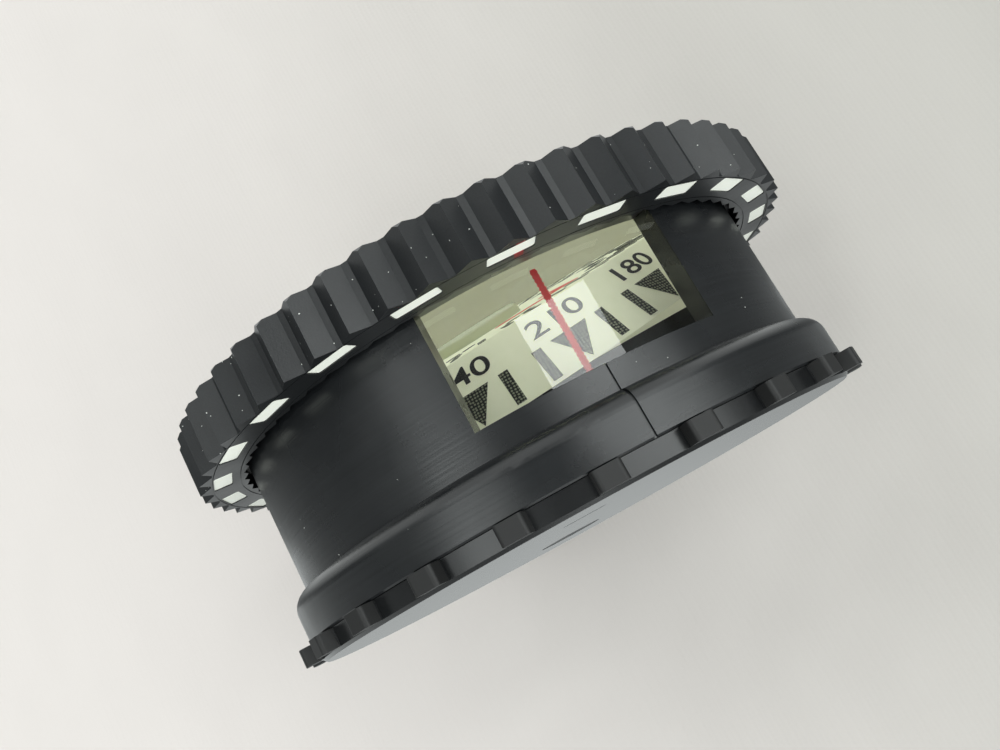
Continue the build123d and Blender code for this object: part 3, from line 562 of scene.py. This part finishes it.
@dataclass
class ClearBody:
    """Capsule, side window and damping fluid as the one clear body that the eye sees."""

    contact: float = 0.02 * MM  # how far it reaches into the opaque walls that it is bonded to
    floor_top: float = 8.95 * MM
    floor_radius: float = 22.15 * MM
    bore_radius: float = 24.1 * MM
    shoulder: float = 21.2 * MM
    window_half_angle: float = 23.0
    dome_radius: float = 72.9 * MM
    dome_edge_round: float = 0.35 * MM
    neck_radius: float = 23.05 * MM
    corner_share: float = 0.29  # how far a 45 degree point of a round lies from its corner
    fine_step: float = 0.5  # degrees between columns across the window
    coarse_step: float = 2.0
    dome_rings: int = 14

    def columns(self) -> list[tuple[float, bool]]:
        """Azimuths of the body's columns of points, each with whether it stands out as the window.

        Returns:
            Azimuths once round, with each side of the window given twice.
        """
        edge = self.window_half_angle + math.degrees(self.contact / self.bore_radius)
        fine = round(2 * edge / self.fine_step)
        coarse = round((360 - 2 * edge) / self.coarse_step)
        inside = [(-edge + 2 * edge * i / fine, True) for i in range(fine + 1)]
        outside = [(edge + (360 - 2 * edge) * i / coarse, False) for i in range(coarse + 1)]
        return inside + outside

    def profile(self, window_radius: float) -> list[tuple[float, float]]:
        """Section of the body from the middle of its floor to the edge of its dome.

        Args:
            window_radius: how far out the section goes between the window's edges.

        Returns:
            Points as (radius, height).
        """
        low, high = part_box("side_window")
        capsule_low, capsule_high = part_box("capsule")
        wall = self.bore_radius + self.contact
        cut = self.corner_share * self.dome_edge_round
        edge = 3 * self.contact  # the window reaches this far over its opening
        neck = self.neck_radius
        middle = capsule_high.z - self.dome_radius
        edge_height = middle + math.sqrt(self.dome_radius**2 - neck**2)
        points = [
            (0.0, self.floor_top - self.contact),
            (self.floor_radius - self.contact, self.floor_top - self.contact),
            (self.floor_radius - self.contact, capsule_low.z),
            (wall, capsule_low.z),
            (wall, low.z - edge),
            (max(wall, window_radius), low.z - edge),
            (max(wall, window_radius), high.z + edge),
            (wall, high.z + edge),
            (wall, self.shoulder),
            (neck, self.shoulder),
            (neck, edge_height - self.dome_edge_round),
            (neck - cut, edge_height - cut),
        ]
        reach = neck - self.dome_edge_round
        for i in range(self.dome_rings + 1):
            radius = reach * (1 - i / self.dome_rings)
            points.append((radius, middle + math.sqrt(self.dome_radius**2 - radius**2)))
        return points

    def build(self, workshop: "Workshop") -> None:
        """Makes the clear body, which stands for the capsule and the window.

        Args:
            workshop: holds the frame and the materials.
        """
        window_radius = -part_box("side_window")[0].y
        shape = bmesh.new()
        rows = []
        sections = {True: self.profile(window_radius), False: self.profile(0.0)}
        for azimuth, is_window in self.columns():
            section = sections[is_window]
            rows.append([shape.verts.new(polar(radius, azimuth, height)) for radius, height in section])
        for left, right in zip(rows, rows[1:]):
            for i in range(len(left) - 1):
                shape.faces.new((left[i], right[i], right[i + 1], left[i + 1]))
        mesh = finished_mesh("clear_body", shape, smooth=True, merge=1e-6)
        piece = new_piece("clear_body", mesh, workshop.material(CLEAR_ACRYLIC), "housing")
        sharpen(piece, 25)
        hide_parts("capsule", "side_window")


@dataclass
class WallLining:
    """Thin pale sheet on the capsule's back wall: a painted reflection, an invented stand-in for what the dome
    mirrors.
    """

    radius: float = 24.07 * MM
    thickness: float = 0.03 * MM
    first_azimuth: float = 42.0
    last_azimuth: float = 318.0
    bottom: float = 15.6 * MM
    top: float = 21.1 * MM
    step: float = 2.0

    def arc(self, shape: bmesh.types.BMesh, azimuths: list[float]) -> None:
        """Adds the lining's closed thin shell along an arc.

        Args:
            shape: the bmesh that it joins.
            azimuths: where its columns stand.
        """
        rings = []
        inner = self.radius - self.thickness
        for azimuth in azimuths:
            corners = (
                (self.radius, self.bottom), (self.radius, self.top), (inner, self.top), (inner, self.bottom)
            )
            rings.append([shape.verts.new(polar(r, azimuth, z)) for r, z in corners])
        for left, right in zip(rings, rings[1:]):
            for i in range(4):
                shape.faces.new((left[i], left[(i + 1) % 4], right[(i + 1) % 4], right[i]))
        shape.faces.new(rings[0])
        shape.faces.new(rings[-1])

    def build(self, workshop: "Workshop") -> None:
        """Makes the sheet, a painted reflection.

        Args:
            workshop: holds the frame and the materials.
        """
        shape = bmesh.new()
        count = round((self.last_azimuth - self.first_azimuth) / self.step)
        azimuths = [self.first_azimuth + self.step * i for i in range(count + 1)]
        self.arc(shape, azimuths)
        mesh = finished_mesh("painted_reflection_sheet", shape, smooth=False, merge=1e-8)
        new_piece("painted_reflection_sheet", mesh, workshop.material(REFLECTION_SHEET_COAT), "housing")


@dataclass
class LubberLine:
    """Red line printed on the capsule's inner wall, with the stepped edges that the screen leaves."""

    radius: float = 22.15 * MM
    width: float = 0.6 * MM
    bottom: float = 9.3 * MM
    top: float = 18.85 * MM
    step: float = 0.19 * MM
    jag: float = 0.08 * MM
    thickness: float = 0.04 * MM

    def build(self, workshop: "Workshop") -> None:
        """Makes the printed line, which stands for its plain CAD strip.

        Args:
            workshop: holds the frame and the materials.
        """
        draw = random.Random(11)
        shape = bmesh.new()
        count = round((self.top - self.bottom) / self.step)
        rings = []
        for i in range(2 * count):
            height = self.bottom + (self.top - self.bottom) * ((i + 1) // 2) / count
            outward = self.jag if (i // 2) % 2 else 0.0
            half = self.width / 2 - outward * draw.uniform(0.5, 1.2)
            angle = math.degrees(half / self.radius)
            ring = [
                shape.verts.new(polar(self.radius - depth, side * angle, height))
                for side, depth in ((-1, 0), (1, 0), (1, self.thickness), (-1, self.thickness))
            ]
            rings.append(ring)
        for low, high in zip(rings, rings[1:]):
            for i in range(4):
                shape.faces.new((low[i], low[(i + 1) % 4], high[(i + 1) % 4], high[i]))
        shape.faces.new(rings[0])
        shape.faces.new(rings[-1])
        mesh = finished_mesh("lubber_print", shape, smooth=False, merge=1e-8)
        piece = new_piece("lubber_print", mesh, workshop.material(LUBBER_INK), "housing")
        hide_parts("lubber_line")


@dataclass
class Card:
    """Compass card: luminous skirt and top, printed scale, numerals and north arrow."""

    north_azimuth: float = 35.4
    rim_radius: float = 18.4 * MM
    slope: float = 0.53
    height: float = 6.0 * MM
    side_digit_height: float = 1.7 * MM
    side_digit_middle: float = 4.5 * MM  # along the card's axis, from its rim
    side_digit_stretch: float = 1.45
    top_digit_height: float = 1.35 * MM
    top_digit_radius: float = 9.9 * MM
    thickness: float = 0.05 * MM
    numeral_step: int = 30
    finishes: tuple[tuple[str, Finish], ...] = (
        ("card", CARD_COAT),
        ("card_marks", CARD_INK),
        ("card_top_scale", CARD_INK),
        ("north_arrow", ARROW_INK),
        ("magnet_carrier", CARRIER_PLASTIC),
        ("left_magnet", MAGNET),
        ("right_magnet", MAGNET),
        ("balance_weight", BRASS),
        ("float_ring", FOAM),
        ("hub_cap", CARD_CAP),
        ("jewel", JEWEL_GLASS),
        ("jewel_setting", BRASS),
    )

    def frame(self, workshop: "Workshop") -> Matrix:
        """The card's own frame: z along its axis, y opposite its lean, origin on the pivot.

        Args:
            workshop: holds the joints of the frame.

        Returns:
            Matrix from the card's frame to the row frame. Polar angles in it are azimuths less 90.
        """
        joint = next(j for j in workshop.joints if j["name"] == "card_heading")
        axis = Vector(joint["axis"]).normalized()
        lean = Vector((0, 0, 1)).rotation_difference(axis)
        return Matrix.Translation(Vector(joint["pos_m"])) @ lean.to_matrix().to_4x4()

    def on_skirt(self, point: Vector, azimuth: float, middle: float) -> Vector:
        """Lays a point of flat numerals on the sloping skirt.

        Args:
            point: x to the reader's right, y up, z out of the print.
            azimuth: where the numerals' middle is.
            middle: its height above the rim.

        Returns:
            The point in the card's frame.
        """
        lean = math.atan(self.slope)
        height = middle + point.y * math.cos(lean)
        radius = self.rim_radius - self.slope * height + point.z / math.cos(lean)
        turn = math.degrees(point.x / (self.rim_radius - self.slope * middle))
        return polar(radius, azimuth + turn, height)

    def on_top(self, point: Vector, azimuth: float) -> Vector:
        """Lays a point of flat numerals on the card's top, read from above with its foot to the middle.

        Args:
            point: x to the reader's right, y up, z out of the print.
            azimuth: where the numerals' middle is.

        Returns:
            The point in the card's frame.
        """
        outwards = polar(1, azimuth, 0)
        right = Vector((0, 0, 1)).cross(outwards) * -1
        place = outwards * (self.top_digit_radius + point.y) + right * point.x
        return place + Vector((0, 0, self.height + point.z))

    def numerals(self, workshop: "Workshop", name: str, side: bool) -> None:
        """Makes the numerals of one scale as one piece.

        Args:
            workshop: holds the frame and the materials.
            name: the piece's name.
            side: True for the skirt's scale, which reads the bearing of the far side.
        """
        shape = bmesh.new()
        to_row = self.frame(workshop)
        for value in range(0, 360, self.numeral_step):
            azimuth = self.north_azimuth - value + (180 if side else 0)
            size = self.side_digit_height if side else self.top_digit_height
            if not side and value == 0:
                continue
            flat = text_mesh(str(value), size, self.side_digit_stretch, self.thickness, TEXT_BOLD)
            for vertex in flat.vertices:
                if side:
                    placed = self.on_skirt(vertex.co, azimuth, self.side_digit_middle)
                else:
                    placed = self.on_top(vertex.co, azimuth)
                vertex.co = to_row @ placed
            shape.from_mesh(flat)
            bpy.data.meshes.remove(flat)
        mesh = finished_mesh(name, shape, smooth=False, merge=1e-8)
        new_piece(name, mesh, workshop.material(NUMERAL_INK), "card")

    def build(self, workshop: "Workshop") -> None:
        """Dresses the card's CAD nodes and prints its numerals.

        Args:
            workshop: holds the frame and the materials.
        """
        workshop.dress(self.finishes)
        self.numerals(workshop, "side_numerals", side=True)
        self.numerals(workshop, "top_numerals", side=False)


@dataclass
class Bezel:
    """Toothed bezel with its luminous pips, index mark and engraved numerals."""

    inner_radius: float = 27.5 * MM
    bevel_width: float = 1.9 * MM
    bevel_drop: float = 1.1 * MM
    digit_height: float = 1.15 * MM
    digit_stretch: float = 1.1
    thickness: float = 0.04 * MM
    numeral_step: int = 30
    index_azimuth: float = -4.2
    dust_specks: int = 180
    finishes: tuple[tuple[str, Finish], ...] = (
        ("bezel", BEZEL_PLASTIC),
        ("luminous_pips", PIP_PLASTIC),
        ("bezel_index", INDEX_INK),
    )

    def on_bevel(self, point: Vector, azimuth: float, top: float) -> Vector:
        """Lays a point of flat numerals on the bevel, read from above.

        Args:
            point: x to the reader's right, y up, z out of the engraving.
            azimuth: where the numerals' middle is.
            top: height of the bezel's top.

        Returns:
            The point in the row frame.
        """
        tilt = math.atan2(self.bevel_drop, self.bevel_width)
        along = self.bevel_width / 2 + point.y * math.cos(tilt) - point.z * math.sin(tilt)
        radius = self.inner_radius + along
        height = top - self.bevel_drop / 2 + point.y * math.sin(tilt) + point.z * math.cos(tilt)
        turn = math.degrees(point.x / (self.inner_radius + self.bevel_width / 2))
        return polar(radius, azimuth - turn, height)

    def build(self, workshop: "Workshop") -> None:
        """Dresses the bezel, engraves its numerals and settles dust on it.

        Args:
            workshop: holds the frame and the materials.
        """
        workshop.dress(self.finishes)
        low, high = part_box("bezel")
        shape = bmesh.new()
        for value in range(0, 360, self.numeral_step):
            flat = text_mesh(str(value), self.digit_height, self.digit_stretch, self.thickness, TEXT_BOLD)
            for vertex in flat.vertices:
                vertex.co = self.on_bevel(vertex.co, self.index_azimuth - value, high.z)
            shape.from_mesh(flat)
            bpy.data.meshes.remove(flat)
        mesh = finished_mesh("bezel_numerals", shape, smooth=False, merge=1e-8)
        new_piece("bezel_numerals", mesh, workshop.material(BEZEL_PAINT), "bezel")
        settle_dust(workshop, "bezel", self.dust_specks, lowest=low.z, highest=high.z, seed=3)


def settle_dust(workshop: "Workshop", node: str, count: int, lowest: float, highest: float, seed: int) -> None:
    """Scatters flat specks of dust over the outside of a CAD node.

    Args:
        workshop: holds the frame and the materials.
        node: the CAD node that they lie on, which also names its body.
        count: how many specks.
        lowest: lowest height of a speck.
        highest: greatest height of a speck.
        seed: start of the random draws, so that each run gives the same dust.
    """
    draw = random.Random(seed)
    skin = workshop.nodes[node].data
    tree = BVHTree.FromPolygons([v.co for v in skin.vertices], [p.vertices for p in skin.polygons])
    shape = bmesh.new()
    for _ in range(count):
        azimuth = draw.uniform(0, 360)
        height = draw.uniform(lowest, highest)
        size = draw.uniform(0.02, 0.06) * MM
        outside = polar(OUTSIDE, azimuth, height)
        place, normal, _face, _distance = tree.ray_cast(outside, polar(-1, azimuth, 0))
        if place is None:
            continue
        turn = normal.to_track_quat("Z", "Y").to_matrix().to_4x4()
        flat = Matrix.Diagonal((size * draw.uniform(0.7, 1.6), size, size * 0.35, 1))
        settled = Matrix.Translation(place) @ turn @ flat
        bmesh.ops.create_icosphere(shape, subdivisions=1, radius=1, matrix=settled)
    mesh = finished_mesh(node + "_dust", shape, smooth=True, merge=1e-9)
    body = workshop.nodes[node]["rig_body"]
    new_piece(node + "_dust", mesh, workshop.material(DUST), body)


def sharpen(piece: bpy.types.Object, angle: float) -> None:
    """Keeps the edges sharper than an angle crisp on a smooth piece.

    Args:
        piece: the smooth-shaded object.
        angle: degrees between faces from which an edge is crisp.
    """
    shape = bmesh.new()
    shape.from_mesh(piece.data)
    for edge in shape.edges:
        edge.smooth = len(edge.link_faces) != 2 or edge.calc_face_angle() < math.radians(angle)
    shape.to_mesh(piece.data)
    shape.free()


# ---------------------------------------------------------------- studio


@dataclass
class Studio:
    """Pale floor and backdrop, soft light from all round and two broad windows in front."""

    backdrop_azimuth: float = 155.0  # the backdrop stands on this side of the compass
    backdrop_distance: float = 35.0 * MM
    backdrop_size: float = 1.6
    wall_colour: str = "#C3BDBA"
    shade_colour: str = "#A29F9A"
    shade_start: float = -50 * MM  # along x, the cloth goes from lit to shaded between these
    shade_end: float = 120 * MM
    camera_azimuth: float = -14.3
    strength: float = 5.0
    # Light round the room as (degrees from the camera's side, level); the two high stretches are windows.
    room_levels: tuple[tuple[float, float], ...] = (
        (-180, 0.16), (-140, 0.17), (-100, 0.09), (-60, 0.06), (-50, 0.10), (-42, 0.75),
        (-26, 0.75), (-18, 0.10), (-4, 0.035), (10, 0.04), (20, 0.6), (50, 0.8),
        (60, 0.5), (68, 0.07), (100, 0.06), (140, 0.07), (180, 0.16),
    )
    room_tint: tuple[float, float, float] = (0.95, 1.0, 0.99)
    ceiling_start: float = 18.0
    ceiling_full: float = 40.0
    ceiling_light: tuple[float, ...] = (0.30, 0.31, 0.305, 1)
    band_height: float = 14.0
    band_reach: float = 4.7  # above and below its middle
    band_share: float = 0.85
    band_light: tuple[float, ...] = (0.02, 0.021, 0.021, 1)
    pane_azimuth: float = 28.2
    pane_half_width: float = 15.8
    pane_height: float = 12.3
    pane_reach: float = 2.6
    pane_light: tuple[float, ...] = (1.5, 1.56, 1.55, 1)
    backdrop_light: tuple[float, ...] = (0.15, 0.151, 0.147, 1)  # what the camera sees past the sheets

    def sheet(self, name: str, matrix: Matrix, material: bpy.types.Material) -> None:
        """Makes one large flat sheet that only the camera sees, from its front.

        Args:
            name: the sheet's name.
            matrix: its place, with its front towards local +z.
            material: its finish.
        """
        shape = bmesh.new()
        bmesh.ops.create_grid(shape, x_segments=1, y_segments=1, size=self.backdrop_size, matrix=matrix)
        mesh = bpy.data.meshes.new(name)
        shape.to_mesh(mesh)
        shape.free()
        mesh.materials.append(material)
        sheet = bpy.data.objects.new(name, mesh)
        bpy.context.scene.collection.objects.link(sheet)
        sheet.visible_diffuse = False
        sheet.visible_glossy = False
        sheet.visible_transmission = False
        sheet.visible_shadow = False

    def cloth(self) -> bpy.types.Material:
        """White woven cotton, clear from behind so that every side of the compass can be seen.

        Returns:
            The material of the floor and the backdrop.
        """
        material = bpy.data.materials.new("white_cotton")
        material.use_nodes = True
        tree = material.node_tree
        shader = tree.nodes["Principled BSDF"]
        shader.inputs["Roughness"].default_value = 0.9
        shader.inputs["Specular IOR Level"].default_value = 0.1
        # The cloth falls into shade away from the windows, over some 200 mm.
        place = add_node(tree, "TexCoord").outputs["Object"]
        axes = add_node(tree, "SeparateXYZ", {0: place})
        reach = add_node(
            tree, "MapRange",
            {"Value": axes.outputs["X"], "From Min": self.shade_start, "From Max": self.shade_end},
            interpolation_type="SMOOTHSTEP",
        )
        shade = add_node(
            tree, "Mix",
            {"Factor": reach.outputs[0], "A": linear(self.wall_colour), "B": linear(self.shade_colour)},
            data_type="RGBA",
        )
        tree.links.new(shade.outputs["Result"], shader.inputs["Base Color"])
        # Plain weave of 0.35 mm threads, drawn at 0.6 mm, over soft creases some 30 mm apart.
        weave = add_node(tree, "TexVoronoi", {"Vector": place, "Scale": 1 / (0.6 * MM), "Randomness": 0.25})
        crease = add_node(tree, "TexNoise", {"Vector": place, "Scale": 1 / (30 * MM), "Detail": 2.0})
        threads = add_node(
            tree, "Bump", {"Height": weave.outputs["Distance"], "Distance": 0.05 * MM, "Strength": 0.5}
        )
        folds = add_node(
            tree, "Bump",
            {"Height": crease.outputs[0], "Distance": 4 * MM, "Strength": 0.4, "Normal": threads.outputs[0]},
        )
        tree.links.new(folds.outputs[0], shader.inputs["Normal"])
        side = add_node(tree, "NewGeometry")
        clear = add_node(tree, "BsdfTransparent")
        mix = add_node(
            tree, "MixShader",
            {0: side.outputs["Backfacing"], 1: shader.outputs[0], 2: clear.outputs[0]},
        )
        tree.links.new(mix.outputs[0], tree.nodes["Material Output"].inputs["Surface"])
        return material

    def near(
        self,
        tree: bpy.types.NodeTree,
        value: bpy.types.NodeSocket,
        middle: float,
        reach: float,
        scale: Callable[[float], float] = float,
    ) -> bpy.types.Node:
        """Adds a node that gives 1 where a value lies close to an angle, and 0 elsewhere.

        Args:
            tree: the world's node tree.
            value: the socket to test.
            middle: the angle, in degrees.
            reach: how far to either side still counts, in degrees.
            scale: turns radians to what the value holds, such as a sine.

        Returns:
            The comparing node.
        """
        limits = {0: value, 1: scale(math.radians(middle)), 2: scale(math.radians(reach))}
        return add_node(tree, "Math", limits, operation="COMPARE")

    def light(self) -> None:
        """Makes the surroundings: bright cloth behind, a dim room in front, two broad windows."""
        world = bpy.data.worlds.new("soft_room")
        bpy.context.scene.world = world
        world.use_nodes = True
        tree = world.node_tree
        background = tree.nodes["Background"]
        place = add_node(tree, "TexCoord").outputs["Generated"]
        # Turn the surroundings so that the room's middle is where the camera stands.
        turned = add_node(
            tree, "VectorRotate",
            {"Vector": place, "Axis": (0, 0, 1), "Angle": math.radians(-self.camera_azimuth)},
            rotation_type="AXIS_ANGLE",
        )
        axes = add_node(tree, "SeparateXYZ", {0: turned.outputs[0]})
        # Azimuth round the room as a share of a turn: 0.5 is straight at the camera.
        back = add_node(tree, "Math", {0: axes.outputs["Y"], 1: -1.0}, operation="MULTIPLY")
        turn = add_node(tree, "Math", {0: axes.outputs["X"], 1: back.outputs[0]}, operation="ARCTAN2")
        share = add_node(
            tree, "MapRange",
            {"Value": turn.outputs[0], "From Min": -math.pi, "From Max": math.pi, "To Min": 0.0, "To Max": 1.0},
        )
        ring = add_node(tree, "ValToRGB", {0: share.outputs[0]})
        ring.color_ramp.interpolation = "EASE"
        elements = ring.color_ramp.elements
        for i, (azimuth, level) in enumerate(self.room_levels):
            place_share = (azimuth + 180) / 360
            element = elements[i] if i < 2 else elements.new(place_share)
            element.position = place_share
            element.color = (*(level * tint for tint in self.room_tint), 1)
        # The windows end a little above the horizon; higher up is a pale ceiling.
        up = add_node(
            tree, "MapRange",
            {"Value": axes.outputs["Z"],
             "From Min": math.sin(math.radians(self.ceiling_start)),
             "From Max": math.sin(math.radians(self.ceiling_full)),
             "To Min": 0.0, "To Max": 1.0},
            interpolation_type="SMOOTHSTEP",
        )
        room = add_node(
            tree, "Mix",
            {"Factor": up.outputs[0], "A": ring.outputs[0], "B": self.ceiling_light}, data_type="RGBA",
        )
        # A darker band crosses the windows at the heights that the clear window mirrors.
        band = self.near(tree, axes.outputs["Z"], self.band_height, self.band_reach, math.sin)
        band_share = add_node(tree, "Math", {0: band.outputs[0], 1: self.band_share}, operation="MULTIPLY")
        room = add_node(
            tree, "Mix",
            {"Factor": band_share.outputs[0], "A": room.outputs["Result"], "B": self.band_light},
            data_type="RGBA",
        )
        # One pane is far brighter than the rest, and its sharp image lies on the compass's clear window.
        pane_turn = self.near(tree, turn.outputs[0], self.pane_azimuth, self.pane_half_width)
        pane_rise = self.near(tree, axes.outputs["Z"], self.pane_height, self.pane_reach, math.sin)
        pane = add_node(tree, "Math", {0: pane_turn.outputs[0], 1: pane_rise.outputs[0]}, operation="MULTIPLY")
        room = add_node(
            tree, "Mix", {"Factor": pane.outputs[0], "A": room.outputs["Result"], "B": self.pane_light},
            data_type="RGBA",
        )
        seen = add_node(tree, "LightPath")
        plain = add_node(
            tree, "Mix",
            {"Factor": seen.outputs["Is Camera Ray"], "A": room.outputs["Result"],
             "B": self.backdrop_light},
            data_type="RGBA",
        )
        tree.links.new(plain.outputs["Result"], background.inputs["Color"])
        background.inputs["Strength"].default_value = self.strength

    def build(self) -> None:
        """Sets up the floor, the backdrop and the light."""
        cloth = self.cloth()
        facing = polar(-1, self.backdrop_azimuth, 0)
        stand = facing.to_track_quat("Z", "Y").to_matrix().to_4x4()
        self.sheet("backdrop", Matrix.Translation(-facing * self.backdrop_distance) @ stand, cloth)
        self.sheet("floor", Matrix.Translation((0, 0, -0.02 * MM)), cloth)
        self.light()
        bpy.context.scene.view_settings.view_transform = "Standard"


@dataclass
class Viewpoint:
    """Where the camera stands and how it is held."""

    place: Vector
    heading: float = 13.91  # degrees from +Y towards +X
    elevation: float = 12.39
    roll: float = 28.79
    lens: float = 32.82

    def build(self) -> None:
        """Makes the camera and makes it the scene's own."""
        heading, elevation, roll = (math.radians(a) for a in (self.heading, self.elevation, self.roll))
        flat = math.cos(elevation)
        forward = Vector((math.sin(heading) * flat, math.cos(heading) * flat, math.sin(elevation)))
        level = forward.cross(Vector((0, 0, 1))).normalized()
        upright = level.cross(forward)
        right = level * math.cos(roll) - upright * math.sin(roll)
        up = level * math.sin(roll) + upright * math.cos(roll)
        data = bpy.data.cameras.new("camera")
        data.lens = self.lens
        data.sensor_width = 36
        data.clip_start = 5 * MM
        data.clip_end = 10
        camera = bpy.data.objects.new("camera", data)
        bpy.context.scene.collection.objects.link(camera)
        turn = Matrix((right, up, -forward)).transposed().to_4x4()
        camera.matrix_world = Matrix.Translation(self.place) @ turn
        bpy.context.scene.camera = camera


class Workshop:
    """The loaded frame and the materials made so far."""

    def __init__(self, frame: dict) -> None:
        """Keeps the frame's nodes, joints and material slots.
        """
        self.nodes: dict[str, bpy.types.Object] = frame["nodes"]
        self.joints: list[dict] = frame["joints"]
        self.slots: dict[str, str] = {s["node"]: s["material_slot"] for s in frame["record"]["subparts"]}
        self.made: dict[str, bpy.types.Material] = {}

    def material(self, finish: Finish) -> bpy.types.Material:
        """The finish's material, made on first use."""
        if finish.name not in self.made:
            self.made[finish.name] = finish.build()
        return self.made[finish.name]

    def dress(self, finishes: tuple[tuple[str, Finish], ...]) -> None:
        """Gives CAD nodes their finishes.

        Args:
            finishes: node names with their finishes.
        """
        for node, finish in finishes:
            data = self.nodes[node].data
            data.materials.clear()
            data.materials.append(self.material(finish))
            log.info("node %s wears %s", node, finish.name)


def main() -> None:
    """Builds the compass's looks, the studio and the camera."""
    logging.basicConfig(level=logging.INFO, format="%(name)s: %(message)s")
    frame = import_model()
    workshop = Workshop(frame)
    Viewpoint(place=Vector((-23.05, -90.43, -2.85)) * MM).build()
    Housing().build(workshop)
    ClearBody().build(workshop)
    WallLining().build(workshop)
    LubberLine().build(workshop)
    Card().build(workshop)
    Bezel().build(workshop)
    Studio().build()


if __name__ == "__main__":
    main()
